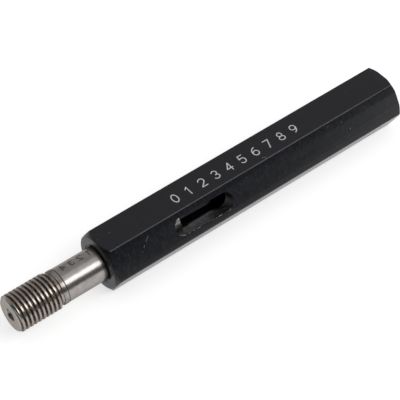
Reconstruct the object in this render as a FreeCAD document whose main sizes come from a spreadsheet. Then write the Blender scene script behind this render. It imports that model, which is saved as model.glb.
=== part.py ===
import FreeCAD, Part
import math
import os

import Sketcher

# Thread plug gauge, 0.7056 mm pitch (36 threads per inch), lying on one flat of
# its handle.  Two separate pieces:
#   handle        9 mm hexagon bar, cone-chamfered at both ends, with a 1:50
#                 taper bore from the front and an oblong drift slot across it
#   gauge_insert  threaded measuring end, relief, collar and neck, whose 1:50
#                 taper shank is driven into the handle and ends in the slot
# Frame: +Z up, the gauge's axis along X, threaded end towards -X, the bottom
# flat of the hexagon on Z = 0, origin under the middle of the whole length.

doc = FreeCAD.newDocument("thread_plug_gauge")
App = FreeCAD
V = App.Vector

# ---------------------------------------------------------------- dimensions
sheet = doc.addObject("Spreadsheet::Sheet", "Dimensions")
rows = [
    # whole gauge
    ("overall_length", 71.5, "tip of the insert to the back of the handle"),
    # handle
    ("across_flats", 9.0, "hexagon bar, flat to flat"),
    ("handle_length", 56.0, "front face to back face"),
    ("corner_round", 0.20, "radius on the six long edges"),
    ("front_face_radius", 4.36, "flat part of the front face"),
    ("front_chamfer_slope", 1.22, "radial rise per mm of length, front cone"),
    ("back_face_radius", 4.60, "flat part of the back face"),
    ("back_chamfer_slope", 1.22, "radial rise per mm of length, back cone"),
    ("taper_large_dia", 5.0, "taper bore at the front face"),
    ("taper_ratio", 0.02, "1:50 on diameter"),
    ("taper_bore_depth", 16.0, "reamed length of the bore"),
    ("mouth_dia", 6.6, "countersink at the front face"),
    ("mouth_depth", 0.45, "depth of that countersink"),
    ("pilot_dia", 4.5, "drilled hole past the reamed taper"),
    ("pilot_depth", 27.0, "full-diameter depth of the drilled hole"),
    ("drill_point", 118.0, "included angle of the drill point"),
    ("slot_width", 3.0, "drift slot"),
    ("slot_length", 10.8, "drift slot, over its round ends"),
    ("slot_start", 11.65, "front face to the near end of the slot"),
    ("slot_tilt", -1.4, "degrees, the slot is milled slightly askew"),
    # insert, lengths from its tip
    ("pitch", 0.7056, "25.4 / 36"),
    ("major_dia", 6.02, "truncated crest of the wear-check thread"),
    ("pitch_dia", 5.87, "simple pitch diameter"),
    ("root_dia", 5.40, "cleared root"),
    ("tip_face_dia", 5.22, "flat end face, inside the 45 degree chamfer"),
    ("thread_end", 7.08, "end of the full-diameter part"),
    ("relief_start", 7.42, "foot of the 40 degree slope"),
    ("relief_end", 7.82, "shoulder of the collar"),
    ("relief_dia", 5.18, "relief behind the thread"),
    ("collar_end", 8.58, "end of the collar"),
    ("collar_dia", 5.63, "collar between relief and neck"),
    ("mark_width", 0.12, "fine turned line behind the collar"),
    ("mark_dia", 5.40, "bottom of that line"),
    ("neck_dia", 5.52, "plain neck"),
    ("neck_end", 15.72, "shoulder just inside the handle's mouth"),
    ("insert_length", 29.6, "tip to the end of the taper shank"),
    ("shank_chamfer", 0.30, "45 degree chamfer on the shank's end"),
    ("centre_pilot_dia", 1.0, "centre hole, small drill"),
    ("centre_cone_dia", 2.12, "centre hole, mouth of the 60 degree cone"),
    ("centre_depth", 1.9, "centre hole, full depth"),
    ("groove_phase", 0.7314, "axial place of a groove centre on the top line"),
    ("helix_end", 7.50, "groove runs out in the relief"),
]
sheet.set("A1", "name"); sheet.set("B1", "value"); sheet.set("C1", "what")
DIM = {}
for i, (name, value, what) in enumerate(rows, start=2):
    sheet.set("A%d" % i, name)
    sheet.set("B%d" % i, "%.6g" % value)
    sheet.set("C%d" % i, what)
    sheet.setAlias("B%d" % i, name)
    DIM[name] = value
doc.recompute()


def cell(name):
    return "Dimensions." + name


def plane(body, role):
    for o in body.Origin.OriginFeatures:
        if o.Role == role:
            return o
    raise RuntimeError(role)


def new_sketch(body, name, role):
    s = body.newObject("Sketcher::SketchObject", name)
    s.AttachmentSupport = [(plane(body, role), "")]
    s.MapMode = "FlatFace"
    return s


def polyline(s, pts):
    """Closed polygon; each corner's two coordinates are driven by expressions.
    pts: list of (x, x_expression, y, y_expression)."""
    n = len(pts)
    ids = []
    for i in range(n):
        a, b = pts[i], pts[(i + 1) % n]
        ids.append(s.addGeometry(Part.LineSegment(V(a[0], a[2], 0), V(b[0], b[2], 0)), False))
    for i in range(n):
        s.addConstraint(Sketcher.Constraint("Coincident", ids[i], 2, ids[(i + 1) % n], 1))
    for i, (x, ex, y, ey) in enumerate(pts):
        for kind, val, expr in (("DistanceX", x, ex), ("DistanceY", y, ey)):
            if expr is None:
                # the corner lies on the sketch's own axis
                other = -1 if kind == "DistanceY" else -2
                s.addConstraint(Sketcher.Constraint("PointOnObject", ids[i], 1, other))
                continue
            c = s.addConstraint(Sketcher.Constraint(kind, -1, 1, ids[i], 1, val))
            s.setExpression("Constraints[%d]" % c, expr)
    return ids


def ev(expr):
    """Value of an expression, used as the starting value of its constraint."""
    env = dict(DIM)
    env["tan30"] = math.tan(math.radians(30))
    return reckon(expr, env)


def reckon(expr, env):
    # small recursive-descent reader for + - * / ( ) and names
    toks = []
    i = 0
    while i < len(expr):
        ch = expr[i]
        if ch.isspace():
            i += 1
        elif ch in "+-*/()":
            toks.append(ch); i += 1
        else:
            j = i
            while j < len(expr) and (expr[j].isalnum() or expr[j] in "._"):
                j += 1
            toks.append(expr[i:j]); i = j
    pos = [0]

    def peek():
        return toks[pos[0]] if pos[0] < len(toks) else None

    def factor():
        t = toks[pos[0]]; pos[0] += 1
        if t == "-":
            return -factor()
        if t == "(":
            v = summ(); pos[0] += 1
            return v
        if t.startswith("Dimensions."):
            return env[t[len("Dimensions."):]]
        return float(t)

    def prod():
        v = factor()
        while peek() in ("*", "/"):
            op = toks[pos[0]]; pos[0] += 1
            w = factor()
            v = v * w if op == "*" else v / w
        return v

    def summ():
        v = prod()
        while peek() in ("+", "-"):
            op = toks[pos[0]]; pos[0] += 1
            w = prod()
            v = v + w if op == "+" else v - w
        return v

    return summ()


def D(expr):
    """Spell the sheet's names out: 'a + b/2' -> 'Dimensions.a + Dimensions.b/2'."""
    out = ""
    i = 0
    while i < len(expr):
        ch = expr[i]
        if ch.isalpha() or ch == "_":
            j = i
            while j < len(expr) and (expr[j].isalnum() or expr[j] == "_"):
                j += 1
            out += "Dimensions." + expr[i:j]
            i = j
        elif ch.isdigit() or ch == ".":
            j = i
            while j < len(expr) and (expr[j].isdigit() or expr[j] == "."):
                j += 1
            out += expr[i:j]
            i = j
        else:
            out += ch
            i += 1
    return out


def P(xe, ye):
    """A corner from two expressions; None puts it on the axis."""
    xd = None if xe is None else D(xe)
    yd = None if ye is None else D(ye)
    return (0.0 if xe is None else ev(xd), xd, 0.0 if ye is None else ev(yd), yd)


# -------------------------------------------------------------------- handle
# Modelled with its front face on the body's YZ plane, axis +X, and the slot
# along the body's Z; the Placement turns it 60 degrees, hexagon on hexagon.
handle = doc.addObject("PartDesign::Body", "handle")
handle.Label = "handle"

sec = new_sketch(handle, "HexSection", "YZ_Plane")
R0 = DIM["across_flats"] / math.sqrt(3.0)
hx = [V(R0 * math.cos(math.radians(60 * k)), R0 * math.sin(math.radians(60 * k)), 0) for k in range(6)]
ids = [sec.addGeometry(Part.LineSegment(hx[k], hx[(k + 1) % 6]), False) for k in range(6)]
for k in range(6):
    sec.addConstraint(Sketcher.Constraint("Coincident", ids[k], 2, ids[(k + 1) % 6], 1))
circ = sec.addGeometry(Part.Circle(V(0, 0, 0), V(0, 0, 1), R0), True)
sec.addConstraint(Sketcher.Constraint("Coincident", circ, 3, -1, 1))
for k in range(6):
    sec.addConstraint(Sketcher.Constraint("PointOnObject", ids[k], 1, circ))
for k in range(5):
    sec.addConstraint(Sketcher.Constraint("Equal", ids[k], ids[k + 1]))
sec.addConstraint(Sketcher.Constraint("PointOnObject", ids[0], 1, -1))
c = sec.addConstraint(Sketcher.Constraint("Radius", circ, R0))
sec.setExpression("Constraints[%d]" % c, cell("across_flats") + " / sqrt(3)")

bar = handle.newObject("PartDesign::Pad", "HexBar")
bar.Profile = sec
bar.Length = DIM["handle_length"]
bar.setExpression("Length", cell("handle_length"))
handle.Tip = bar
doc.recompute()
if bar.Shape.BoundBox.XMax < 1.0:        # the bar must run towards +X
    bar.Reversed = True
    doc.recompute()

# rounded long edges of the drawn bar
longs = []
for i, e in enumerate(bar.Shape.Edges, start=1):
    d = e.Vertexes[-1].Point - e.Vertexes[0].Point
    if abs(d.x) > 0.9 * DIM["handle_length"]:
        longs.append("Edge%d" % i)
rnd = handle.newObject("PartDesign::Fillet", "LongEdges")
rnd.Base = (bar, longs)
rnd.Radius = DIM["corner_round"]
rnd.setExpression("Radius", cell("corner_round"))
handle.Tip = rnd
doc.recompute()

# cone chamfers: the ring outside each cone is turned away
cone = new_sketch(handle, "EndCones", "XZ_Plane")
top = "across_flats"                      # any radius clear of the corners
polyline(cone, [
    P("0 - 1", "front_face_radius - front_chamfer_slope"),
    P("(across_flats*0.7 - front_face_radius)/front_chamfer_slope", "across_flats*0.7"),
    P("0 - 1", "across_flats*0.7"),
])
polyline(cone, [
    P("handle_length + 1", "back_face_radius - back_chamfer_slope"),
    P("handle_length + 1", "across_flats*0.7"),
    P("handle_length - (across_flats*0.7 - back_face_radius)/back_chamfer_slope", "across_flats*0.7"),
])
turn = handle.newObject("PartDesign::Groove", "TurnedEnds")
turn.Profile = cone
turn.ReferenceAxis = (cone, ["H_Axis"])
turn.Angle = 360.0
handle.Tip = turn
doc.recompute()
assert turn.Shape.Volume < rnd.Shape.Volume - 0.5

# bore: countersunk mouth, 1:50 taper, drilled hole with its point
bore = new_sketch(handle, "BoreProfile", "XZ_Plane")
tip = "pilot_depth + pilot_dia/2*0.600861"            # 118 degree point
polyline(bore, [
    P(None, None),
    P(None, "mouth_dia/2"),
    P("mouth_depth", "taper_large_dia/2 - mouth_depth*taper_ratio/2"),
    P("taper_bore_depth", "taper_large_dia/2 - taper_bore_depth*taper_ratio/2"),
    P("taper_bore_depth", "pilot_dia/2"),
    P("pilot_depth", "pilot_dia/2"),
    P(tip, None),
])
drilled = handle.newObject("PartDesign::Groove", "TaperBore")
drilled.Profile = bore
drilled.ReferenceAxis = (bore, ["H_Axis"])
drilled.Angle = 360.0
handle.Tip = drilled
doc.recompute()
assert drilled.Shape.Volume < turn.Shape.Volume - 400.0

# drift slot, right through between two opposite flats; its outline is drawn
# about its own middle and set at its place, slightly askew
slot = new_sketch(handle, "SlotOutline", "XY_Plane")
hw = DIM["slot_width"] / 2.0
hx0 = DIM["slot_length"] / 2.0 - hw
slot.AttachmentOffset = App.Placement(V(DIM["slot_start"] + DIM["slot_length"] / 2, 0, 0),
                                      App.Rotation(V(0, 0, 1), DIM["slot_tilt"]))
slot.setExpression("AttachmentOffset.Base.x", D("slot_start + slot_length/2"))
slot.setExpression("AttachmentOffset.Rotation.Angle", cell("slot_tilt"))
a0 = slot.addGeometry(Part.ArcOfCircle(Part.Circle(V(-hx0, 0, 0), V(0, 0, 1), hw), math.pi / 2, 3 * math.pi / 2), False)
l0 = slot.addGeometry(Part.LineSegment(V(-hx0, -hw, 0), V(hx0, -hw, 0)), False)
a1 = slot.addGeometry(Part.ArcOfCircle(Part.Circle(V(hx0, 0, 0), V(0, 0, 1), hw), -math.pi / 2, math.pi / 2), False)
l1 = slot.addGeometry(Part.LineSegment(V(hx0, hw, 0), V(-hx0, hw, 0)), False)
slot.addConstraint(Sketcher.Constraint("Tangent", a0, 2, l0, 1))
slot.addConstraint(Sketcher.Constraint("Tangent", l0, 2, a1, 1))
slot.addConstraint(Sketcher.Constraint("Tangent", a1, 2, l1, 1))
slot.addConstraint(Sketcher.Constraint("Tangent", l1, 2, a0, 1))
slot.addConstraint(Sketcher.Constraint("Symmetric", a0, 3, a1, 3, -1, 1))
slot.addConstraint(Sketcher.Constraint("PointOnObject", a1, 3, -1))
c = slot.addConstraint(Sketcher.Constraint("Radius", a0, hw))
slot.setExpression("Constraints[%d]" % c, cell("slot_width") + " / 2")
c = slot.addConstraint(Sketcher.Constraint("DistanceX", -1, 1, a1, 3, hx0))
slot.setExpression("Constraints[%d]" % c, D("slot_length/2 - slot_width/2"))
cut = handle.newObject("PartDesign::Pocket", "DriftSlot")
cut.Profile = slot
cut.Type = "Length"
cut.SideType = "Symmetric"
cut.Length = 2.0 * DIM["across_flats"]
cut.setExpression("Length", "2 * " + cell("across_flats"))
handle.Tip = cut
doc.recompute()
assert cut.Shape.Volume < drilled.Shape.Volume - 80.0

handle.Placement = App.Placement(V(0, 0, 0), App.Rotation(V(1, 0, 0), 60))
handle.setExpression("Placement.Base.x", D("overall_length/2 - handle_length"))
handle.setExpression("Placement.Base.z", D("across_flats/2"))

# -------------------------------------------------------------- gauge insert
# Modelled with its tip face on the body's YZ plane and its axis along +X.
insert = doc.addObject("PartDesign::Body", "gauge_insert")
insert.Label = "gauge_insert"

front = "(overall_length - handle_length)"            # handle's front face
shank_at_mouth = "taper_large_dia/2 - mouth_depth*taper_ratio/2"
shank_end = "taper_large_dia/2 - (insert_length - " + front + ")*taper_ratio/2"
prof = new_sketch(insert, "TurnedProfile", "XZ_Plane")
polyline(prof, [
    P(None, None),
    P(None, "tip_face_dia/2"),
    P("(major_dia - tip_face_dia)/2", "major_dia/2"),
    P("thread_end", "major_dia/2"),
    P("relief_start", "relief_dia/2"),
    P("relief_end", "relief_dia/2"),
    P("relief_end", "collar_dia/2 - 0.06"),
    P("relief_end + 0.06", "collar_dia/2"),
    P("collar_end - 0.05", "collar_dia/2"),
    P("collar_end", "mark_dia/2"),
    P("collar_end + mark_width/2", "mark_dia/2"),
    P("collar_end + mark_width", "neck_dia/2"),
    P("neck_end", "neck_dia/2"),
    P("neck_end", shank_at_mouth),
    P(front + " + mouth_depth", shank_at_mouth),
    P("insert_length - shank_chamfer",
      "taper_large_dia/2 - (insert_length - shank_chamfer - " + front + ")*taper_ratio/2"),
    P("insert_length", shank_end + " - shank_chamfer"),
    P("insert_length", None),
])
blank = insert.newObject("PartDesign::Revolution", "TurnedBlank")
blank.Profile = prof
blank.ReferenceAxis = (prof, ["H_Axis"])
blank.Angle = 360.0
insert.Tip = blank
doc.recompute()

# centre holes, 60 degree cone and small drill, in both ends
ctr = new_sketch(insert, "CentreHoles", "XZ_Plane")
cone_len = "(centre_cone_dia - centre_pilot_dia)/2*1.7320508"
tiplen = "centre_pilot_dia/2*0.600861"
polyline(ctr, [
    P(None, None),
    P(None, "centre_cone_dia/2"),
    P(cone_len, "centre_pilot_dia/2"),
    P("centre_depth", "centre_pilot_dia/2"),
    P("centre_depth + " + tiplen, None),
])
polyline(ctr, [
    P("insert_length", None),
    P("insert_length", "centre_cone_dia/2"),
    P("insert_length - " + cone_len, "centre_pilot_dia/2"),
    P("insert_length - centre_depth", "centre_pilot_dia/2"),
    P("insert_length - centre_depth - " + tiplen, None),
])
centres = insert.newObject("PartDesign::Groove", "Centres")
centres.Profile = ctr
centres.ReferenceAxis = (ctr, ["H_Axis"])
centres.Angle = 360.0
insert.Tip = centres
doc.recompute()
assert centres.Shape.Volume < blank.Shape.Volume - 3.0

# right-hand single-start thread: a 60 degree groove with a narrow flat root
vee = new_sketch(insert, "ThreadGroove", "XZ_Plane")
half_root = "(pitch/4 - (pitch_dia - root_dia)/2*0.5773503)"
out_r = "(major_dia/2 + 0.15)"
start = "groove_phase - 2*pitch"
half_out = "(" + half_root + " + (" + out_r + " - root_dia/2)*0.5773503)"
polyline(vee, [
    P(start + " - " + half_root, "root_dia/2"),
    P(start + " - " + half_out, out_r),
    P(start + " + " + half_out, out_r),
    P(start + " + " + half_root, "root_dia/2"),
])
thread = insert.newObject("PartDesign::SubtractiveHelix", "Thread")
thread.Profile = vee
thread.ReferenceAxis = (vee, ["H_Axis"])
thread.Mode = 0                        # pitch and height
thread.Pitch = DIM["pitch"]
thread.setExpression("Pitch", cell("pitch"))
thread.Height = DIM["helix_end"] - (DIM["groove_phase"] - 2 * DIM["pitch"])
thread.setExpression("Height", D("helix_end - (groove_phase - 2*pitch)"))
thread.LeftHanded = False
thread.Reversed = False
insert.Tip = thread
doc.recompute()

insert.setExpression("Placement.Base.x", D("0 - overall_length/2"))
insert.setExpression("Placement.Base.z", D("across_flats/2"))
doc.recompute()

# ------------------------------------------------------------------ checking
bad = []
for o in doc.Objects:
    st = " ".join(o.State)
    if "Invalid" in st or "Error" in st:
        bad.append("%s: %s" % (o.Name, st))
for b in (handle, insert):
    if b.Shape.isNull() or not b.Shape.isValid() or len(b.Shape.Solids) != 1:
        bad.append("%s: shape not one valid solid" % b.Name)
if bad:
    raise RuntimeError("; ".join(bad))
removed = centres.Shape.Volume - thread.Shape.Volume
print("thread groove removes %.2f mm3" % removed)
assert removed > 12.0

# ------------------------------------------------------------------- writing
os.makedirs("parts", exist_ok=True)
for b in (handle, insert):
    bb = b.Shape.BoundBox
    print("%-13s volume %9.2f mm3  X %.3f %.3f  Y %.3f %.3f  Z %.3f %.3f" % (
        b.Label, b.Shape.Volume, bb.XMin, bb.XMax, bb.YMin, bb.YMax, bb.ZMin, bb.ZMax))
    b.Shape.exportStep("parts/%s.step" % b.Label)
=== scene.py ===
import bpy
import bmesh
import math
import numpy as np
from mathutils import Matrix, Vector, geometry


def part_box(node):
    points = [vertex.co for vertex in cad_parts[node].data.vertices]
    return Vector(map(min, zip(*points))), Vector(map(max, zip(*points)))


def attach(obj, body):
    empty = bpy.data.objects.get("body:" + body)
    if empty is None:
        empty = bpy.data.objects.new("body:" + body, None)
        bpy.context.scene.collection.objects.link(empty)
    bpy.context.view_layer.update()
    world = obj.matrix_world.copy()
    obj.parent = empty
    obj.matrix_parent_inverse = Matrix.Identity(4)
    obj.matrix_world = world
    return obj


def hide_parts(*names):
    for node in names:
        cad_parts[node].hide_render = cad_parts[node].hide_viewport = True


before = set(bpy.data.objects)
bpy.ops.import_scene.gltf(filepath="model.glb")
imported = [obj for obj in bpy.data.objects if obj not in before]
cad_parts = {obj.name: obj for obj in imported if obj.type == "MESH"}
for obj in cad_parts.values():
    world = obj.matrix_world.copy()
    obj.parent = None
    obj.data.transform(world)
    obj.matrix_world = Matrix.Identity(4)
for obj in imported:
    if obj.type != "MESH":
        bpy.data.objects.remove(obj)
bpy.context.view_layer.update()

scene = bpy.context.scene
MM = 0.001

# Everything below is reckoned in millimetres in the frame of the CAD, and
# scaled to metres when a mesh is made. The gauge's axis is y = 0, z = 4.5.
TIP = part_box("gauge_insert")[0].x / MM            # -35.75
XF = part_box("handle")[0].x / MM                   # -20.25, front face of the handle
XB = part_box("handle")[1].x / MM                   # 35.75
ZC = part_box("handle")[1].z / MM / 2               # 4.5
APO = ZC                                          # half the distance across flats

rng = np.random.default_rng(36)


# ------------------------------------------------------------------ 2-D help
def fillet(pts, radii, steps=3):
    """Rounds the corners of an open polyline. pts: list of (x, r); radii: one
    number a corner (ends ignored). Every rounded corner gives steps + 1 points."""
    out = [tuple(pts[0])]
    n = len(pts)
    for i in range(1, n - 1):
        p = np.array(pts[i], float)
        a = np.array(pts[i - 1], float) - p
        b = np.array(pts[i + 1], float) - p
        la, lb = np.hypot(*a), np.hypot(*b)
        if la < 1e-6 or lb < 1e-6 or radii[i] <= 0:
            out.append(tuple(p))
            continue
        a /= la
        b /= lb
        cosw = float(np.clip(a @ b, -1, 1))
        half = math.acos(cosw) / 2
        if half > math.radians(84):
            out.append(tuple(p))
            continue
        t = radii[i] / math.tan(half)
        t = min(t, la * 0.45, lb * 0.45)
        r = t * math.tan(half)
        c = p + (a + b) / np.linalg.norm(a + b) * (r / math.sin(half))
        s, e = p + a * t - c, p + b * t - c
        ang = math.acos(float(np.clip((s @ e) / (np.linalg.norm(s) * np.linalg.norm(e) + 1e-15), -1, 1)))
        for k in range(steps + 1):
            f = k / steps
            if ang < 1e-4:
                v = s * (1 - f) + e * f
            else:
                v = (math.sin((1 - f) * ang) * s + math.sin(f * ang) * e) / math.sin(ang)
            out.append(tuple(c + v))
    out.append(tuple(pts[-1]))
    return out


def segments_of(shape):
    """Polyline points -> list of segments."""
    return [(shape[i], shape[i + 1]) for i in range(len(shape) - 1)]


def arc(cx, cy, rx, ry, a0, a1, n=12):
    return [(cx + rx * math.cos(math.radians(a0 + (a1 - a0) * i / n)),
             cy + ry * math.sin(math.radians(a0 + (a1 - a0) * i / n))) for i in range(n + 1)]


# Plain figures drawn as single strokes, in a box 0.62 wide and 1 high.
FIGURES = {
    "0": [arc(0.31, 0.5, 0.29, 0.5, 0, 360, 24)],
    "1": [[(0.10, 0.76), (0.34, 1.0), (0.34, 0.0)]],
    "2": [arc(0.31, 0.70, 0.29, 0.30, 165, -35, 12) + [(0.02, 0.0), (0.62, 0.0)]],
    "3": [arc(0.30, 0.74, 0.26, 0.26, 150, -90, 12) + arc(0.30, 0.25, 0.30, 0.25, 85, -155, 12)],
    "4": [[(0.47, 0.0), (0.47, 1.0), (0.0, 0.30), (0.64, 0.30)]],
    "5": [[(0.56, 1.0), (0.10, 1.0), (0.06, 0.56)] + arc(0.30, 0.32, 0.30, 0.32, 120, -150, 14)],
    "6": [arc(0.60, 0.42, 0.60, 0.58, 100, 180, 10) + arc(0.31, 0.30, 0.30, 0.30, 180, -180, 20)],
    "7": [[(0.02, 1.0), (0.60, 1.0), (0.22, 0.0)]],
    "8": [arc(0.31, 0.75, 0.24, 0.25, 0, 360, 18), arc(0.31, 0.26, 0.30, 0.26, 0, 360, 20)],
    "9": [arc(0.31, 0.69, 0.29, 0.31, 0, 360, 20), arc(0.02, 0.62, 0.58, 0.62, 5, -72, 10)],
}


def figure_segments(text, height, pitch, x0, y0, sx=1.0, sy=1.0):
    """All the strokes of a row of figures as an array (n, 4): x1 y1 x2 y2."""
    segs = []
    for k, ch in enumerate(text):
        for shape in FIGURES[ch]:
            for (a, b) in segments_of(shape):
                segs.append((x0 + sx * (k * pitch + a[0] * height), y0 + sy * a[1] * height,
                             x0 + sx * (k * pitch + b[0] * height), y0 + sy * b[1] * height))
    return np.array(segs)


def stroke_distance(x, y, segs):
    """Distance from each point to the nearest stroke."""
    best = np.full(x.shape, 1e9)
    for (x1, y1, x2, y2) in segs:
        dx, dy = x2 - x1, y2 - y1
        q = dx * dx + dy * dy + 1e-12
        t = np.clip(((x - x1) * dx + (y - y1) * dy) / q, 0, 1)
        best = np.minimum(best, np.hypot(x - x1 - t * dx, y - y1 - t * dy))
    return best


# --------------------------------------------------------------- mesh making
def make_object(name, verts_mm, faces, marks=None, material_index=None):
    me = bpy.data.meshes.new(name)
    me.from_pydata([tuple(c * MM for c in v) for v in verts_mm], [], faces)
    me.validate(verbose=False)
    if marks is not None and len(me.vertices) == len(marks):
        at = me.attributes.new("mark", "FLOAT", "POINT")
        at.data.foreach_set("value", np.asarray(marks, np.float32))
    if material_index is not None:
        me.polygons.foreach_set("material_index", np.asarray(material_index, np.int32))
    ob = bpy.data.objects.new(name, me)
    scene.collection.objects.link(ob)
    return ob


def zip_columns(columns, closed=True):
    """Triangles between neighbouring polylines of a turned body. columns: list
    of lists of vertex numbers and of their (x, r) places, front to back."""
    tris = []
    n = len(columns)
    for c in range(n if closed else n - 1):
        ia, pa = columns[c]
        ib, pb = columns[(c + 1) % n]
        i = j = 0
        while i < len(ia) - 1 or j < len(ib) - 1:
            if i == len(ia) - 1:
                step = 1
            elif j == len(ib) - 1:
                step = 0
            else:
                d0 = (pa[i + 1][0] - pb[j][0]) ** 2 + (pa[i + 1][1] - pb[j][1]) ** 2
                d1 = (pa[i][0] - pb[j + 1][0]) ** 2 + (pa[i][1] - pb[j + 1][1]) ** 2
                step = 0 if d0 <= d1 else 1
            if step == 0:
                t = (ia[i], ib[j], ia[i + 1])
                i += 1
            else:
                t = (ia[i], ib[j], ib[j + 1])
                j += 1
            if len(set(t)) == 3:
                tris.append(t)
    return tris


def outward(ob):
    """Turns every face the same way round if the closed mesh is inside out."""
    bm = bmesh.new()
    bm.from_mesh(ob.data)
    if bm.calc_volume(signed=True) < 0:
        bmesh.ops.reverse_faces(bm, faces=bm.faces)
        bm.to_mesh(ob.data)
    bm.free()


def smooth_by_angle(ob, degrees):
    me = ob.data
    me.polygons.foreach_set("use_smooth", [True] * len(me.polygons))
    me.set_sharp_from_angle(angle=math.radians(degrees))
    me.update()


# -------------------------------------------------------------- gauge insert
# Lengths from the tip, as in the part's own sheet.
PITCH = 0.7056
R_MAJ, R_ROOT, R_PITCH = 3.01, 2.70, 2.935
PHASE = 0.7314
R_NECK = 2.76
X_FRONT = XF - TIP                                 # 15.5
L_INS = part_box("gauge_insert")[1].x / MM - TIP     # 29.6
HALF_ROOT = PITCH / 4 - (R_PITCH - R_ROOT) * 0.5773503


def blank_radius(x):
    return np.interp(x, [0.0, 0.40, 7.08, 7.42, 7.82], [2.61, 3.01, 3.01, 2.59, 2.59])


def thread_column(theta_deg):
    """Axial section of the threaded end at one angle: exact lower envelope of
    the turned blank and the helical groove."""
    shift = PHASE + PITCH * (theta_deg - 90.0) / 360.0
    xs = {0.0, 0.40, 7.08, 7.42}
    grooves = []
    for k in range(-2, 12):
        c = shift + k * PITCH
        if c < -0.5 or c > 7.5:
            continue
        grooves.append(c)
        for s in (-1, 1):
            xs.add(c + s * HALF_ROOT)
            xs.add(c + s * (HALF_ROOT + (R_MAJ - R_ROOT) * 0.5773503))
            xs.add(c + s * (HALF_ROOT + (3.3 - R_ROOT) * 0.5773503))

    def groove_r(x):
        r = 9.0
        for c in grooves:
            r = min(r, R_ROOT + max(0.0, abs(x - c) - HALF_ROOT) / 0.5773503)
        return r

    xs = sorted(x for x in xs if 0.0 <= x <= 7.42)
    full = []
    for a, b in zip(xs[:-1], xs[1:]):
        full.append(a)
        fa = groove_r(a) - blank_radius(a)
        fb = groove_r(b) - blank_radius(b)
        if fa * fb < 0:
            full.append(a + (b - a) * fa / (fa - fb))
    full.append(xs[-1])
    pts = []
    for x in full:
        r = min(float(blank_radius(x)), groove_r(x))
        if pts and abs(x - pts[-1][0]) < 0.004:
            continue
        pts.append((x, r))
    # drop points that lie on a straight run
    keep = [pts[0]]
    for i in range(1, len(pts) - 1):
        a, p, b = keep[-1], pts[i], pts[i + 1]
        cross = (p[0] - a[0]) * (b[1] - p[1]) - (p[1] - a[1]) * (b[0] - p[0])
        if abs(cross) > 1e-6:
            keep.append(p)
    keep.append(pts[-1])
    return keep


def make_insert():
    # the marks: plain figures etched on the upper side of the neck, read from
    # the back; surface coordinates are length along the axis and arc length
    mx0, mx1 = 9.15, 15.05
    ma0, ma1 = 57.0, 97.0
    arc_mm = math.radians(1.0) * R_NECK
    segs = figure_segments("1234", 1.12, 1.52, 14.72, (88.5 - 64.0) * arc_mm, sx=-1.0, sy=-1.0)
    thetas = []
    t = -90.0
    while t < 270.0 - 1e-6:
        thetas.append(t)
        inside = ma0 <= t < ma1
        t += 1.0 if inside else 2.0
    head = [(1.9 + 0.300, 0.0)]
    centre = [(1.9, 0.50), ((2.12 - 1.0) / 2 * 1.7320508, 0.50), (0.0, 1.06), (0.0, 2.61)]
    back = [
        (7.82, 2.59), (7.82, 2.815 - 0.06), (7.88, 2.815), (8.53, 2.815), (8.58, 2.70),
        (8.64, 2.70), (8.70, 2.76),
    ]
    tail = [
        (15.72, 2.76), (15.72, 2.4955), (15.95, 2.4955),
        (L_INS - 0.30, 2.5 - (L_INS - 0.30 - X_FRONT) * 0.01),
        (L_INS, 2.5 - (L_INS - X_FRONT) * 0.01 - 0.30), (L_INS, 1.06),
        (L_INS - 0.97, 0.50), (L_INS - 1.9, 0.50),
    ]
    end = [(L_INS - 1.9 - 0.300, 0.0)]
    verts, marks, columns = [], [], []
    verts.append((TIP + head[0][0], 0.0, ZC)); marks.append(0.0)
    verts.append((TIP + end[0][0], 0.0, ZC)); marks.append(0.0)
    for th in thetas:
        body = thread_column(th)[1:]
        pts = [head[0]] + centre + body + back
        radii = [0, 0.02, 0.03, 0.05, 0.05] + [0.030] * len(body) + [0.05, 0.03, 0.03, 0.03, 0.02, 0.02, 0.03]
        # the neck: fine stations only where the figures are
        neck = []
        if ma0 <= th <= ma1:
            for x in np.arange(mx0, mx1, 0.05):
                neck.append((float(x), R_NECK))
        pts_r = fillet(pts + [(8.9, R_NECK)], radii + [0], steps=3)
        tail_r = fillet([(15.3, R_NECK)] + tail + end, [0, 0.06, 0.03, 0, 0.05, 0.05, 0.05, 0.02, 0.02, 0], steps=3)
        line = pts_r + neck + tail_r
        a = math.radians(th)
        ids, places = [], []
        nx = np.array([p[0] for p in neck]) if neck else np.zeros(0)
        if len(nx):
            arcpos = np.full(nx.shape, (th - 64.0) * arc_mm)
            dist = stroke_distance(nx, arcpos, segs)
            m = np.clip((0.145 - dist) / 0.075, 0, 1)
            m = m * m * (3 - 2 * m)
        j0 = len(pts_r)
        for k, (x, r) in enumerate(line):
            if k == 0:
                ids.append(0); places.append((x, 0.0)); continue
            if k == len(line) - 1:
                ids.append(1); places.append((x, 0.0)); continue
            mk = 0.0
            if j0 <= k < j0 + len(neck):
                mk = float(m[k - j0])
                r -= 0.010 * mk
            verts.append((TIP + x, r * math.cos(a), ZC + r * math.sin(a)))
            marks.append(mk)
            ids.append(len(verts) - 1)
            places.append((x, r))
        columns.append((ids, places))
    tris = zip_columns(columns)
    ob = make_object("plug_gauge_insert", verts, tris, marks)
    outward(ob)
    smooth_by_angle(ob, 33)
    return ob


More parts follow.
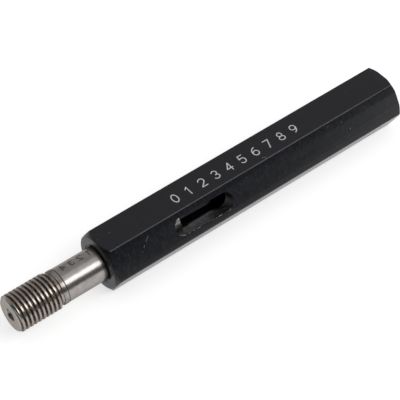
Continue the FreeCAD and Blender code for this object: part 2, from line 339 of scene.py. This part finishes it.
# -------------------------------------------------------------------- handle
def make_handle():
    rho = 0.20
    cols = []                                       # (angle of the section point, radius)
    half_w = APO * math.tan(math.radians(30)) - rho * math.tan(math.radians(30))
    for k in range(6):
        corner = 60.0 * k
        c = np.array([math.cos(math.radians(corner)), math.sin(math.radians(corner))]) * (APO - rho) / math.cos(math.radians(30))
        for s in range(9):
            a = math.radians(corner - 30 + 60 * s / 8)
            cols.append(c + rho * np.array([math.cos(a), math.sin(a)]))
        nrm = math.radians(corner + 30)
        n = np.array([math.cos(nrm), math.sin(nrm)])
        t = np.array([-math.sin(nrm), math.cos(nrm)])
        for w in np.linspace(-half_w, half_w, 18)[1:-1]:
            cols.append(n * APO + t * w)
    L = XB - XF
    verts, faces = [], []
    verts.append((XF + 27.0 + 2.25 * 0.600861, 0.0, ZC))      # drill point
    verts.append((XB, 0.0, ZC))                               # middle of the back face
    rows = []
    for p in cols:
        R = float(np.hypot(*p)); u = p / R
        # the back cone misses the middle of each flat, which runs out square
        line = [
            (27.0, 2.25), (16.0, 2.25), (16.0, 2.34), (0.45, 2.4955), (0.0, 3.30), (0.0, 4.36),
            ((R - 4.36) / 1.22, R),
        ]
        rad = [0, 0.02, 0.02, 0.05, 0.04, 0.07, 0.07]
        if R > 4.615:
            line += [(L - (R - 4.60) / 1.22, R), (L, 4.60), (L, 2.6)]
            rad += [0.09, 0.12, 0]
        else:
            line += [(L, R), (L, 2.6)]
            rad += [0.08, 0]
        line = fillet(line, rad, steps=3)
        ids = [0]
        for (x, r) in line:
            verts.append((XF + x, r * u[0], ZC + r * u[1]))
            ids.append(len(verts) - 1)
        ids.append(1)
        rows.append((ids, [(27.0 + 2.25 * 0.600861, 0.0)] + line + [(L, 0.0)]))
    faces = zip_columns(rows)
    base = make_object("handle_hexagon", verts, faces)
    outward(base)

    # the drift slot's cutter: an oblong, flared at both flats by the broken
    # and slightly ragged edges
    ctr = 11.65 + 5.4
    tilt = math.radians(-1.4)
    hx, hw = 5.4 - 1.5, 1.5
    outline = []
    for i in range(17):
        a = math.pi / 2 + math.pi * i / 16
        outline.append((-hx + hw * math.cos(a), hw * math.sin(a), math.cos(a), math.sin(a)))
    for i in range(1, 60):
        outline.append((-hx + 2 * hx * i / 60, -hw, 0.0, -1.0))
    for i in range(17):
        a = -math.pi / 2 + math.pi * i / 16
        outline.append((hx + hw * math.cos(a), hw * math.sin(a), math.cos(a), math.sin(a)))
    for i in range(1, 60):
        outline.append((hx - 2 * hx * i / 60, hw, 0.0, 1.0))
    m = len(outline)
    rag = rng.normal(0, 1, m)
    rag = np.convolve(np.r_[rag[-2:], rag, rag[:2]], [0.15, 0.25, 0.2, 0.25, 0.15], "same")[2:-2]
    nrm = math.radians(150)
    N = np.array([0, math.cos(nrm), math.sin(nrm)])
    T = np.array([0, -math.sin(nrm), math.cos(nrm)])          # +w is away from V2
    levels = [(-APO - 0.3, 0.36), (-APO + 0.055, 0.0), (0.0, 0.0), (APO - 0.055, 0.0), (APO + 0.3, 0.36)]
    cv, cf, rings = [], [], []
    for li, (h, flare) in enumerate(levels):
        ring = []
        for q, (x, w, ex, ew) in enumerate(outline):
            g = flare
            if li in (1, 3):
                g = 0.012 * rag[q]
            elif flare:
                g = flare * (1.0 + 0.10 * rag[q])
            xx, ww = x + ex * g, w + ew * g
            X = math.cos(tilt) * xx - math.sin(tilt) * ww + ctr
            W = math.sin(tilt) * xx + math.cos(tilt) * ww
            # the sketch's own across-direction: the body was turned 60 degrees
            P = np.array([XF + X, 0, ZC]) + N * h - T * W
            cv.append(tuple(P)); ring.append(len(cv) - 1)
        rings.append(ring)
    for a, b in zip(rings[:-1], rings[1:]):
        for i in range(m):
            cf.append((a[i], a[(i + 1) % m], b[(i + 1) % m], b[i]))
    cf.append(tuple(rings[0][::-1])); cf.append(tuple(rings[-1]))
    cutter = make_object("slot_cutter", cv, cf)
    outward(cutter)

    base.data.materials.append(mat_oxide)
    cutter.data.materials.append(mat_slot)
    mod = base.modifiers.new("slot", "BOOLEAN")
    mod.operation = "DIFFERENCE"
    mod.solver = "EXACT"
    mod.object = cutter
    mod.material_mode = "TRANSFER"
    dg = bpy.context.evaluated_depsgraph_get()
    cut = bpy.data.meshes.new_from_object(base.evaluated_get(dg), preserve_all_data_layers=True, depsgraph=dg)
    base.modifiers.clear()
    old = base.data
    base.data = cut
    bpy.data.meshes.remove(old)
    bpy.data.objects.remove(cutter)
    base.name = "handle_body"
    base.data.name = "handle_body"
    base.data.materials.append(mat_turned)

    # the top flat is laid again as a fine net, with the figures cut into it
    bm = bmesh.new()
    bm.from_mesh(base.data)
    bmesh.ops.remove_doubles(bm, verts=bm.verts, dist=1e-9)
    layer = bm.verts.layers.float.new("mark")
    top = [f for f in bm.faces if f.normal.z > 0.9999 and abs(f.calc_center_median().z - 2 * APO * MM) < 1e-6]
    edges = {}
    for f in top:
        for e in f.edges:
            edges[e] = edges.get(e, 0) + 1
    rim = [e for e, c in edges.items() if c == 1]
    rim_v = sorted({v for e in rim for v in e.verts}, key=lambda v: v.index)
    index = {v: i for i, v in enumerate(rim_v)}
    segs = figure_segments("0123456789", 1.62, 2.56, -6.45, -1.10)
    x0, x1, y0, y1, g = -6.85, 17.95, -1.42, 0.86, 0.045
    gx = np.arange(x0, x1, g); gy = np.arange(y0, y1, g)
    GX, GY = np.meshgrid(gx, gy, indexing="ij")
    d = stroke_distance(GX, GY, segs)
    nearby = d < 0.26
    co = [(v.co.x / MM, v.co.y / MM) for v in rim_v]
    ins = [(float(a), float(b)) for a, b in zip(GX[nearby], GY[nearby])]
    # a sparse net elsewhere, so that no triangle runs the whole length
    sx = np.arange(XF + 1.2, XB - 1.0, 0.9); sy = np.arange(-2.1, 2.2, 0.6)
    SX, SY = np.meshgrid(sx, sy, indexing="ij")
    far = stroke_distance(SX, SY, segs) > 0.45
    ins += [(float(a), float(b)) for a, b in zip(SX[far], SY[far])]
    pts = [Vector(p) for p in co + ins]
    ring_e = [(index[e.verts[0]], index[e.verts[1]]) for e in rim]
    out_v, out_e, out_f, ov, oe, of_ = geometry.delaunay_2d_cdt(pts, ring_e, [], 1, 1e-5, True)
    dd = stroke_distance(np.array([p.x for p in out_v]), np.array([p.y for p in out_v]), segs)
    mk = np.clip((0.112 - dd) / 0.055, 0, 1)
    mk = mk * mk * (3 - 2 * mk)
    inner = [e for e, c in edges.items() if c == 2]
    for f in top:
        bm.faces.remove(f)
    for e in inner:
        if not e.link_faces:
            bm.edges.remove(e)
    new_v = []
    for i, p in enumerate(out_v):
        src = [s for s in ov[i] if s < len(co)]
        if src:
            new_v.append(rim_v[src[0]])
        else:
            v = bm.verts.new((p.x * MM, p.y * MM, (2 * APO - 0.035 * mk[i]) * MM))
            v[layer] = float(mk[i])
            new_v.append(v)
    for f in out_f:
        loop = [new_v[i] for i in f]
        if (loop[1].co - loop[0].co).cross(loop[2].co - loop[1].co).z < 0:
            loop.reverse()
        bm.faces.new(loop).material_index = 0
    # turned end faces, cones and mouth
    for f in bm.faces:
        c = f.calc_center_median()
        nx = f.normal.x
        rr = math.hypot(c.y, c.z - ZC * MM) / MM
        if f.material_index == 0 and rr > 2.6 and abs(nx) > 0.30 and rr < 5.2:
            f.material_index = 2
    print("handle: open or odd edges", sum(1 for e in bm.edges if len(e.link_faces) != 2), "loose verts", sum(1 for v in bm.verts if not v.link_faces))
    bm.to_mesh(base.data)
    bm.free()
    smooth_by_angle(base, 28)
    return base


# ------------------------------------------------------------------ materials
def new_material(name):
    m = bpy.data.materials.new(name)
    m.use_nodes = True
    nt = m.node_tree
    nt.nodes.clear()
    out = nt.nodes.new("ShaderNodeOutputMaterial")
    bsdf = nt.nodes.new("ShaderNodeBsdfPrincipled")
    nt.links.new(bsdf.outputs["BSDF"], out.inputs["Surface"])
    return m, nt, bsdf


class N:
    """Short forms for node building."""

    def __init__(self, nt):
        self.nt = nt
        self.tc = nt.nodes.new("ShaderNodeTexCoord")
        self.obj = self.tc.outputs["Object"]

    def link(self, a, b):
        self.nt.links.new(a, b)

    def math(self, op, a, b=None, c=None, clamp=False):
        n = self.nt.nodes.new("ShaderNodeMath")
        n.operation = op
        n.use_clamp = clamp
        for i, v in enumerate((a, b, c)):
            if v is None:
                continue
            if isinstance(v, (int, float)):
                n.inputs[i].default_value = v
            else:
                self.link(v, n.inputs[i])
        return n.outputs[0]

    def vmath(self, op, a, b=None, out=0):
        n = self.nt.nodes.new("ShaderNodeVectorMath")
        n.operation = op
        for i, v in enumerate((a, b)):
            if v is None:
                continue
            if isinstance(v, (tuple, list)):
                n.inputs[i].default_value = v
            else:
                self.link(v, n.inputs[i])
        return n.outputs[out]

    def mapping(self, scale=(1, 1, 1), rot=(0, 0, 0), loc=(0, 0, 0), vec=None):
        n = self.nt.nodes.new("ShaderNodeMapping")
        n.inputs["Location"].default_value = loc
        n.inputs["Rotation"].default_value = rot
        n.inputs["Scale"].default_value = scale
        self.link(vec if vec is not None else self.obj, n.inputs["Vector"])
        return n.outputs[0]

    def noise(self, vec, scale, detail=3.0, rough=0.55, dist=0.0, w=None):
        n = self.nt.nodes.new("ShaderNodeTexNoise")
        n.inputs["Scale"].default_value = scale
        n.inputs["Detail"].default_value = detail
        n.inputs["Roughness"].default_value = rough
        n.inputs["Distortion"].default_value = dist
        self.link(vec, n.inputs["Vector"])
        return n.outputs["Fac"]

    def voronoi(self, vec, scale):
        n = self.nt.nodes.new("ShaderNodeTexVoronoi")
        n.inputs["Scale"].default_value = scale
        self.link(vec, n.inputs["Vector"])
        return n.outputs["Distance"], n.outputs["Color"]

    def remap(self, v, a, b, c=0.0, d=1.0, smooth=True):
        n = self.nt.nodes.new("ShaderNodeMapRange")
        n.interpolation_type = "SMOOTHSTEP" if smooth else "LINEAR"
        n.clamp = True
        self.link(v, n.inputs["Value"])
        n.inputs["From Min"].default_value = a
        n.inputs["From Max"].default_value = b
        n.inputs["To Min"].default_value = c
        n.inputs["To Max"].default_value = d
        return n.outputs[0]

    def mix(self, fac, a, b):
        n = self.nt.nodes.new("ShaderNodeMix")
        n.data_type = "RGBA"
        for sock, v in ((n.inputs["Factor"], fac), (n.inputs["A"], a), (n.inputs["B"], b)):
            pass
        fac_s = [s for s in n.inputs if s.name == "Factor" and s.type == "VALUE"][0]
        a_s = [s for s in n.inputs if s.name == "A" and s.type == "RGBA"][0]
        b_s = [s for s in n.inputs if s.name == "B" and s.type == "RGBA"][0]
        if isinstance(fac, (int, float)):
            fac_s.default_value = fac
        else:
            self.link(fac, fac_s)
        for s, v in ((a_s, a), (b_s, b)):
            if isinstance(v, (tuple, list)):
                s.default_value = (*v, 1.0) if len(v) == 3 else v
            else:
                self.link(v, s)
        return [o for o in n.outputs if o.type == "RGBA"][0]

    def bump(self, height, strength, distance, normal=None):
        n = self.nt.nodes.new("ShaderNodeBump")
        n.inputs["Strength"].default_value = strength
        n.inputs["Distance"].default_value = distance
        self.link(height, n.inputs["Height"])
        if normal is not None:
            self.link(normal, n.inputs["Normal"])
        return n.outputs[0]

    def attribute(self, name):
        n = self.nt.nodes.new("ShaderNodeAttribute")
        n.attribute_name = name
        return n.outputs["Fac"]

    def scratch(self, a_mm, b_mm, half_mm):
        """1 along the line from a to b on the object, fading to 0 beside it."""
        a = Vector(a_mm) * MM
        ba = (Vector(b_mm) - Vector(a_mm)) * MM
        pa = self.vmath("SUBTRACT", self.obj, tuple(a))
        if ba.length < 1e-9:
            ln = self.vmath("LENGTH", pa, out=1)
        else:
            dot = self.vmath("DOT_PRODUCT", pa, tuple(ba), out=1)
            t = self.math("DIVIDE", dot, ba.length_squared, clamp=True)
            sc = self.nt.nodes.new("ShaderNodeVectorMath")
            sc.operation = "SCALE"
            sc.inputs[0].default_value = tuple(ba)
            self.link(t, sc.inputs["Scale"])
            ln = self.vmath("LENGTH", self.vmath("SUBTRACT", pa, sc.outputs[0]), out=1)
        return self.remap(ln, half_mm * MM, 0.3 * half_mm * MM)


def slot_flat_point(X, w):
    """A point of the flat that the slot opens on: w is across, positive down."""
    a = math.radians(150)
    return (X, APO * math.cos(a) - 0.5 * w, ZC + APO * math.sin(a) - 0.8660254 * w)


def oxide_material():
    m, nt, bsdf = new_material("black_oxide_steel")
    n = N(nt)
    fine = n.noise(n.obj, 5200.0, 4.0, 0.65)
    mott = n.noise(n.obj, 1500.0, 4.0, 0.7)
    broad = n.noise(n.obj, 90.0, 3.0, 0.5)
    # grinding marks run across the flats: fine along X, long across
    cross = n.noise(n.mapping(scale=(1.0, 0.22, 0.22)), 3600.0, 4.0, 0.7)
    geo = nt.nodes.new("ShaderNodeNewGeometry")
    sep = nt.nodes.new("ShaderNodeSeparateXYZ")
    n.link(geo.outputs["Normal"], sep.inputs[0])
    upward = n.remap(sep.outputs["Z"], 0.75, 0.97)
    side = n.math("SUBTRACT", 1.0, upward)
    tex = n.math("ADD", n.math("MULTIPLY", mott, 0.5), n.math("MULTIPLY", cross, 0.5))
    light = n.remap(tex, 0.40, 0.66)
    rough_side = n.mix(light, (0.0002, 0.0005, 0.0026), (0.0070, 0.0080, 0.0132))
    smooth_top = n.mix(light, (0.0006, 0.0008, 0.0042), (0.0032, 0.0036, 0.0080))
    col = n.mix(upward, rough_side, smooth_top)
    # the long edges are painted a little brighter: some rubbed wear, and a painted highlight along the ridges that
    # fades towards the back
    so = nt.nodes.new("ShaderNodeSeparateXYZ")
    n.link(n.obj, so.inputs[0])
    oz = n.math("SUBTRACT", so.outputs["Z"], ZC * MM)
    rad = n.math("SQRT", n.math("ADD", n.math("MULTIPLY", so.outputs["Y"], so.outputs["Y"]), n.math("MULTIPLY", oz, oz)))
    edge_rub_and_highlight = n.remap(rad, 5.105 * MM, 5.160 * MM)
    rub_highlight_mottle = n.remap(n.noise(n.obj, 700.0, 3.0, 0.6), 0.25, 0.75, 0.45, 1.0)
    highlight_fade = n.remap(so.outputs["X"], 34.5 * MM, 26.0 * MM, 0.15, 1.0)
    edge_rub_and_highlight = n.math("MULTIPLY", n.math("MULTIPLY", edge_rub_and_highlight, rub_highlight_mottle), highlight_fade)
    col = n.mix(edge_rub_and_highlight, col, (0.030, 0.031, 0.034))
    # tiny bright specks, thinly strewn over every face
    vd, vc = n.voronoi(n.obj, 560.0)
    sepc = nt.nodes.new("ShaderNodeSeparateColor")
    n.link(vc, sepc.inputs[0])
    pick = n.remap(sepc.outputs[0], 0.955, 0.975)
    dot = n.remap(vd, 0.085, 0.03)
    marks = n.math("MULTIPLY", n.math("MULTIPLY", pick, dot), 0.22)
    F = slot_flat_point
    lines = [
        (F(-13.12, -1.62), F(-13.72, -1.00), 0.075, 0.34),
        (F(-14.20, -0.62), F(-14.34, -0.38), 0.085, 0.34),
        (F(-14.95, 0.10), F(-14.70, 0.14), 0.080, 0.16),
        (F(24.47, -1.45), F(24.47, -1.40), 0.100, 0.46),
        (F(25.63, 0.22), F(25.63, 0.36), 0.090, 0.46),
        (F(22.02, -2.05), F(21.72, -1.92), 0.070, 0.28),
        (F(20.27, -1.80), F(20.27, -1.70), 0.080, 0.16),
        (F(5.44, -1.62), F(5.44, -1.46), 0.080, 0.18),
        (F(16.4, -2.20), F(16.1, -1.90), 0.06, 0.10),
        (F(29.3, -1.9), F(29.2, -1.5), 0.07, 0.14),
        (F(-17.1, -0.9), F(-17.1, -0.6), 0.07, 0.12),
        ((-19.63, 0.39, 9.0), (-19.60, 0.39, 9.0), 0.090, 0.34),
        ((-17.59, 0.38, 9.0), (-17.52, 0.38, 9.0), 0.115, 0.26),
        ((-16.45, 0.70, 9.0), (-16.40, 0.70, 9.0), 0.100, 0.09),
        ((9.40, -2.02, 9.0), (9.95, -2.33, 9.0), 0.095, 0.42),
        ((21.9, -2.50, 8.98), (22.2, -2.62, 8.90), 0.07, 0.20),
        ((4.6, 1.9, 9.0), (4.9, 1.7, 9.0), 0.05, 0.10),
        ((28.5, 0.9, 9.0), (28.9, 1.0, 9.0), 0.05, 0.08),
    ]
    for a_, b_, half, amt in lines:
        marks = n.math("MAXIMUM", marks, n.math("MULTIPLY", n.scratch(a_, b_, half), amt))
    col = n.mix(marks, col, (0.30, 0.305, 0.32))
    # the engraved figures show bright metal and white filler
    at = n.attribute("mark")
    grain = n.remap(n.noise(n.obj, 6000.0, 3.0, 0.6), 0.3, 0.7, 0.72, 1.0)
    figure = n.math("MULTIPLY", n.remap(at, 0.25, 0.75), grain)
    col = n.mix(figure, col, (0.74, 0.73, 0.70))
    n.link(col, bsdf.inputs["Base Color"])
    rough = n.remap(tex, 0.30, 0.70, 0.22, 0.29, False)
    rough = n.math("ADD", rough, n.math("MULTIPLY", figure, 0.35), clamp=True)
    n.link(rough, bsdf.inputs["Roughness"])
    bsdf.inputs["IOR"].default_value = 1.5
    h = n.math("ADD", n.math("MULTIPLY", fine, 0.4), n.math("MULTIPLY", cross, 0.8))
    h = n.math("ADD", h, n.math("MULTIPLY", broad, 1.0))
    n.link(n.bump(h, 0.30, 0.008 * MM), bsdf.inputs["Normal"])
    return m


def turned_material():
    m, nt, bsdf = new_material("black_oxide_turned")
    n = N(nt)
    so = nt.nodes.new("ShaderNodeSeparateXYZ")
    n.link(n.obj, so.inputs[0])
    oz = n.math("SUBTRACT", so.outputs["Z"], ZC * MM)
    rad = n.math("SQRT", n.math("ADD", n.math("MULTIPLY", so.outputs["Y"], so.outputs["Y"]), n.math("MULTIPLY", oz, oz)))
    comb = nt.nodes.new("ShaderNodeCombineXYZ")
    n.link(rad, comb.inputs[0])
    n.link(n.math("MULTIPLY", so.outputs["X"], 1.0), comb.inputs[1])
    rings = n.noise(comb.outputs[0], 9000.0, 3.0, 0.6)
    mott = n.noise(n.obj, 2200.0, 4.0, 0.7)
    tex = n.math("ADD", n.math("MULTIPLY", rings, 0.5), n.math("MULTIPLY", mott, 0.5))
    col = n.mix(n.remap(tex, 0.40, 0.66), (0.0006, 0.0007, 0.0012), (0.0085, 0.0090, 0.0110))
    n.link(col, bsdf.inputs["Base Color"])
    n.link(n.remap(tex, 0.3, 0.7, 0.24, 0.36, False), bsdf.inputs["Roughness"])
    bsdf.inputs["IOR"].default_value = 1.38
    n.link(n.bump(tex, 0.5, 0.012 * MM), bsdf.inputs["Normal"])
    return m


def slot_material():
    m, nt, bsdf = new_material("black_oxide_slot")
    n = N(nt)
    tex = n.noise(n.mapping(scale=(1.0, 0.35, 0.35)), 2400.0, 4.0, 0.65)
    lump = n.noise(n.obj, 1300.0, 3.0, 0.6)
    # the wall that faces up is painted lighter near the opening and darker with depth: painted light on that wall,
    # with a scratched texture
    geo = nt.nodes.new("ShaderNodeNewGeometry")
    facing = n.vmath("DOT_PRODUCT", geo.outputs["True Normal"], (0.0, 0.5, 0.8660254), out=1)
    height = n.vmath("DOT_PRODUCT", n.vmath("SUBTRACT", n.obj, (0.0, 0.0, ZC * MM)), (0.0, -0.8660254, 0.5), out=1)
    near = n.remap(height, 1.5 * MM, 2.6 * MM)
    lit_wall_paint = n.math("MULTIPLY", n.remap(facing, 0.55, 0.95), near)
    patch = n.math("MULTIPLY", n.remap(tex, 0.40, 0.62), n.remap(lump, 0.36, 0.60, 0.15, 1.0))
    col = n.mix(n.math("MULTIPLY", lit_wall_paint, patch), (0.0016, 0.0018, 0.0026), (0.080, 0.081, 0.086))
    # the broken lower edge gets bright flecks: painted highlights of the burr
    brk = n.remap(height, (APO - 0.064) * MM, (APO - 0.050) * MM)
    burr_highlight = n.math("MULTIPLY", brk, n.remap(facing, 0.30, 0.60))
    burr_highlight = n.math("MULTIPLY", burr_highlight, n.remap(n.noise(n.obj, 1700.0, 2.0, 0.6), 0.47, 0.56))
    col = n.mix(burr_highlight, col, (0.34, 0.34, 0.35))
    n.link(col, bsdf.inputs["Base Color"])
    n.link(n.remap(lump, 0.3, 0.7, 0.34, 0.55, False), bsdf.inputs["Roughness"])
    bsdf.inputs["IOR"].default_value = 1.5
    # the specular level drops deeper in the slot: painted shade inside the slot
    n.link(n.remap(height, -0.5 * MM, 2.0 * MM, 0.03, 0.26), bsdf.inputs["Specular IOR Level"])
    h = n.math("ADD", n.math("MULTIPLY", tex, 0.8), lump)
    n.link(n.bump(h, 0.8, 0.03 * MM), bsdf.inputs["Normal"])
    return m


def steel_material():
    m, nt, bsdf = new_material("ground_steel")
    n = N(nt)
    sep = nt.nodes.new("ShaderNodeSeparateXYZ")
    n.link(n.obj, sep.inputs[0])
    y = sep.outputs["Y"]
    z = n.math("SUBTRACT", sep.outputs["Z"], ZC * MM)
    r = n.math("SQRT", n.math("ADD", n.math("MULTIPLY", y, y), n.math("MULTIPLY", z, z)))
    x = sep.outputs["X"]
    in_thread = n.remap(x, (TIP + 7.45) * MM, (TIP + 7.35) * MM)
    off_face = n.remap(x, (TIP + 0.002) * MM, (TIP + 0.03) * MM)
    low = n.remap(r, 2.990 * MM, 2.940 * MM)
    low = n.math("MULTIPLY", low, n.remap(r, 2.45 * MM, 2.55 * MM))
    groove = n.math("MULTIPLY", low, in_thread)
    chamfer = n.remap(x, (TIP + 0.40) * MM, (TIP + 0.34) * MM)
    # inside the chamfer's length only what lies under the cone is groove
    cone = n.math("ADD", n.math("SUBTRACT", x, TIP * MM), 2.61 * MM)
    under = n.remap(n.math("SUBTRACT", cone, r), 0.015 * MM, 0.05 * MM)
    keep = n.math("MAXIMUM", n.math("SUBTRACT", 1.0, chamfer), under)
    groove = n.math("MULTIPLY", n.math("MULTIPLY", groove, keep), off_face)

    rings = n.noise(n.mapping(scale=(1.0, 0.015, 0.015)), 5200.0, 3.0, 0.6)
    fine = n.noise(n.obj, 3500.0, 3.0, 0.6)
    mott = n.noise(n.obj, 800.0, 4.0, 0.6)
    col = n.mix(n.remap(mott, 0.3, 0.7), (0.325, 0.303, 0.290), (0.385, 0.366, 0.353))
    # the thread grooves are coloured dark brown with mottling, from just below the crests down to the root
    groove_mottle = n.noise(n.obj, 2600.0, 3.0, 0.65)
    brown = n.mix(n.remap(groove_mottle, 0.42, 0.64), (0.030, 0.021, 0.014), (0.210, 0.130, 0.066))
    col = n.mix(groove, col, brown)
    # the faced end is duller than the ground sides
    face = n.remap(x, (TIP + 0.03) * MM, (TIP + 0.005) * MM)
    col = n.mix(face, col, (0.475, 0.445, 0.415))
    # the centre hole is painted dark and mottled: painted shade in the hole
    hole_shade = n.math("MULTIPLY", n.remap(r, 1.03 * MM, 0.96 * MM), n.remap(x, (TIP + 1.0) * MM, (TIP + 0.90) * MM, 0.55, 1.0))
    hole_shade = n.math("MULTIPLY", hole_shade, n.remap(x, (TIP + 4.0) * MM, (TIP + 3.0) * MM))
    hole_shade = n.math("MULTIPLY", hole_shade, n.remap(n.noise(n.obj, 1400.0, 3.0, 0.6), 0.35, 0.60, 0.45, 1.0))
    col = n.mix(hole_shade, col, (0.045, 0.038, 0.034))
    # the ground shank inside the handle gets a brighter steel colour, so the part seen through the slot shows a
    # painted bright reflection
    shank_lit = n.remap(x, (XF + 0.5) * MM, (XF + 1.0) * MM)
    col = n.mix(shank_lit, col, (0.66, 0.64, 0.62))
    # painted dark shade and reflection on the relief and the collar behind the thread, mottled
    zone = n.math("MULTIPLY", n.remap(x, (TIP + 7.35) * MM, (TIP + 7.45) * MM), n.remap(x, (TIP + 8.66) * MM, (TIP + 8.50) * MM))
    relief_shade = n.math("MULTIPLY", zone, n.remap(n.noise(n.obj, 620.0, 3.0, 0.6), 0.42, 0.62, 0.0, 0.62))
    col = n.mix(relief_shade, col, (0.110, 0.082, 0.058))
    # painted brown shade in the turned corners: behind the collar and where the neck meets the handle
    c1 = n.remap(n.math("ABSOLUTE", n.math("SUBTRACT", x, (TIP + 8.63) * MM)), 0.11 * MM, 0.03 * MM)
    c2 = n.remap(n.math("ABSOLUTE", n.math("SUBTRACT", x, (TIP + 15.45) * MM)), 0.30 * MM, 0.02 * MM)
    corner_shade = n.math("MULTIPLY", n.math("MAXIMUM", c1, c2), 0.75)
    corner_shade = n.math("MULTIPLY", corner_shade, n.remap(r, 2.3 * MM, 2.6 * MM))
    col = n.mix(corner_shade, col, (0.055, 0.036, 0.018))
    # etched figures
    etch = n.math("MULTIPLY", n.remap(n.attribute("mark"), 0.15, 0.75), n.remap(n.noise(n.obj, 3000.0, 3.0, 0.6), 0.25, 0.75, 0.45, 0.95))
    col = n.mix(etch, col, (0.040, 0.034, 0.032))
    n.link(col, bsdf.inputs["Base Color"])
    n.link(n.remap(groove, 0.0, 1.0, 1.0, 0.35, False), bsdf.inputs["Metallic"])
    bsdf.inputs["Specular Tint"].default_value = (0.50, 0.48, 0.46, 1)
    rough = n.remap(rings, 0.25, 0.75, 0.20, 0.28, False)
    rough = n.math("ADD", rough, n.math("MULTIPLY", groove, 0.16))
    rough = n.math("ADD", rough, n.math("MULTIPLY", etch, 0.20), clamp=True)
    n.link(rough, bsdf.inputs["Roughness"])
    h = n.math("ADD", n.math("MULTIPLY", rings, 1.0), n.math("MULTIPLY", fine, 0.25))
    n.link(n.bump(h, 0.22, 0.004 * MM), bsdf.inputs["Normal"])
    return m


def floor_material():
    m, nt, bsdf = new_material("pale_floor")
    # a lit white table: it glows a little, as the product table of a studio does
    bsdf.inputs["Base Color"].default_value = (0.62, 0.62, 0.62, 1)
    bsdf.inputs["Roughness"].default_value = 0.9
    bsdf.inputs["Specular IOR Level"].default_value = 0.0
    bsdf.inputs["Emission Color"].default_value = (1.0, 1.0, 1.0, 1)
    bsdf.inputs["Emission Strength"].default_value = 0.64
    return m


mat_oxide = oxide_material()
mat_slot = slot_material()
mat_turned = turned_material()
mat_steel = steel_material()

insert = make_insert()
insert.data.materials.append(mat_steel)
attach(insert, "root")
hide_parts("gauge_insert")

body = make_handle()
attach(body, "root")
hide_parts("handle")

# the hidden CAD nodes carry the same finishes
for name, mat in (("handle", mat_oxide), ("gauge_insert", mat_steel)):
    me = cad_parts[name].data
    if not me.materials:
        me.materials.append(mat)
    for i in range(len(me.materials)):
        me.materials[i] = mat

# ---------------------------------------------------------------------- stage
me = bpy.data.meshes.new("floor")
S = 3.0
me.from_pydata([(-S, -S, 0), (S, -S, 0), (S, S, 0), (-S, S, 0)], [], [(0, 1, 2, 3)])
floor = bpy.data.objects.new("floor", me)
scene.collection.objects.link(floor)
floor.data.materials.append(floor_material())


def panel(name, direction, distance, size, power_radiance, up=(0, 0, 1)):
    """A rectangular soft light; direction is from the gauge to the light."""
    d = Vector(direction).normalized()
    li = bpy.data.lights.new(name, "AREA")
    li.shape = "RECTANGLE"
    li.size, li.size_y = size
    # radiance L of a one-sided panel: power = L * area * pi
    li.energy = power_radiance * size[0] * size[1] * math.pi
    ob = bpy.data.objects.new(name, li)
    scene.collection.objects.link(ob)
    z = d
    x = Vector((1, 0, 0)) - z * z.x
    x.normalize()
    y = z.cross(x)
    ob.matrix_world = Matrix((
        (x.x, y.x, z.x, d.x * distance),
        (x.y, y.y, z.y, d.y * distance),
        (x.z, y.z, z.z, d.z * distance + 0.0045),
        (0, 0, 0, 1)))
    return ob


def across(angle_deg, xdir):
    """Direction from its slope along the gauge and its angle round the axis."""
    c = math.sqrt(1 - xdir * xdir)
    a = math.radians(angle_deg)
    return (xdir, c * math.cos(a), c * math.sin(a))


panel("key_softbox", across(129, 0.40), 0.70, (0.62, 0.33), 2.9)
panel("top_panel", across(98, 0.30), 0.90, (1.10, 0.45), 0.42)

world = bpy.data.worlds.new("studio")
scene.world = world
world.use_nodes = True
wt = world.node_tree
wt.nodes.clear()
wo = wt.nodes.new("ShaderNodeOutputWorld")
bg = wt.nodes.new("ShaderNodeBackground")
tc = wt.nodes.new("ShaderNodeTexCoord")
sp = wt.nodes.new("ShaderNodeSeparateXYZ")
mr = wt.nodes.new("ShaderNodeMapRange")
mr.interpolation_type = "SMOOTHSTEP"
wt.links.new(tc.outputs["Generated"], sp.inputs[0])
wt.links.new(sp.outputs["Y"], mr.inputs["Value"])
mr.inputs["From Min"].default_value = -0.80
mr.inputs["From Max"].default_value = -0.69
mr.inputs["To Min"].default_value = 0.13
mr.inputs["To Max"].default_value = 0.46
# a dark screen stands beyond the gauge's tip
dp = wt.nodes.new("ShaderNodeVectorMath")
dp.operation = "DOT_PRODUCT"
dp.inputs[1].default_value = (-0.970, -0.140, 0.199)
wt.links.new(tc.outputs["Generated"], dp.inputs[0])
mx = wt.nodes.new("ShaderNodeMapRange")
mx.interpolation_type = "SMOOTHSTEP"
wt.links.new(dp.outputs["Value"], mx.inputs["Value"])
mx.inputs["From Min"].default_value = 0.78
mx.inputs["From Max"].default_value = 0.93
mx.inputs["To Min"].default_value = 1.0
mx.inputs["To Max"].default_value = 0.15
mm = wt.nodes.new("ShaderNodeMath")
mm.operation = "MULTIPLY"
wt.links.new(mr.outputs[0], mm.inputs[0])
wt.links.new(mx.outputs[0], mm.inputs[1])
wt.links.new(mm.outputs[0], bg.inputs["Strength"])
bg.inputs["Color"].default_value = (1.0, 1.0, 1.0, 1)
wt.links.new(bg.outputs[0], wo.inputs["Surface"])

# --------------------------------------------------------------------- camera
cam = bpy.data.cameras.new("camera")
cam.sensor_width = 36.0
cam.sensor_fit = "HORIZONTAL"
cam.lens = 144.6916
cam.clip_start = 0.02
cam.clip_end = 20.0
camera = bpy.data.objects.new("camera", cam)
scene.collection.objects.link(camera)
right = (0.78843054, -0.61464837, -0.02417989)
up = (0.46811809, 0.57404216, 0.67181922)
back = (-0.39905231, -0.54100183, 0.74032039)
place = (-0.09864107, -0.13219668, 0.18593665)
camera.matrix_world = Matrix((
    (right[0], up[0], back[0], place[0]),
    (right[1], up[1], back[1], place[1]),
    (right[2], up[2], back[2], place[2]),
    (0, 0, 0, 1)))
scene.camera = camera

scene.view_settings.view_transform = "Standard"
scene.view_settings.look = "None"
scene.view_settings.exposure = 0.0
scene.view_settings.gamma = 1.0

for ob in (insert, body):
    tris = sum(len(p.vertices) - 2 for p in ob.data.polygons)
    print(ob.name, "triangles", tris)
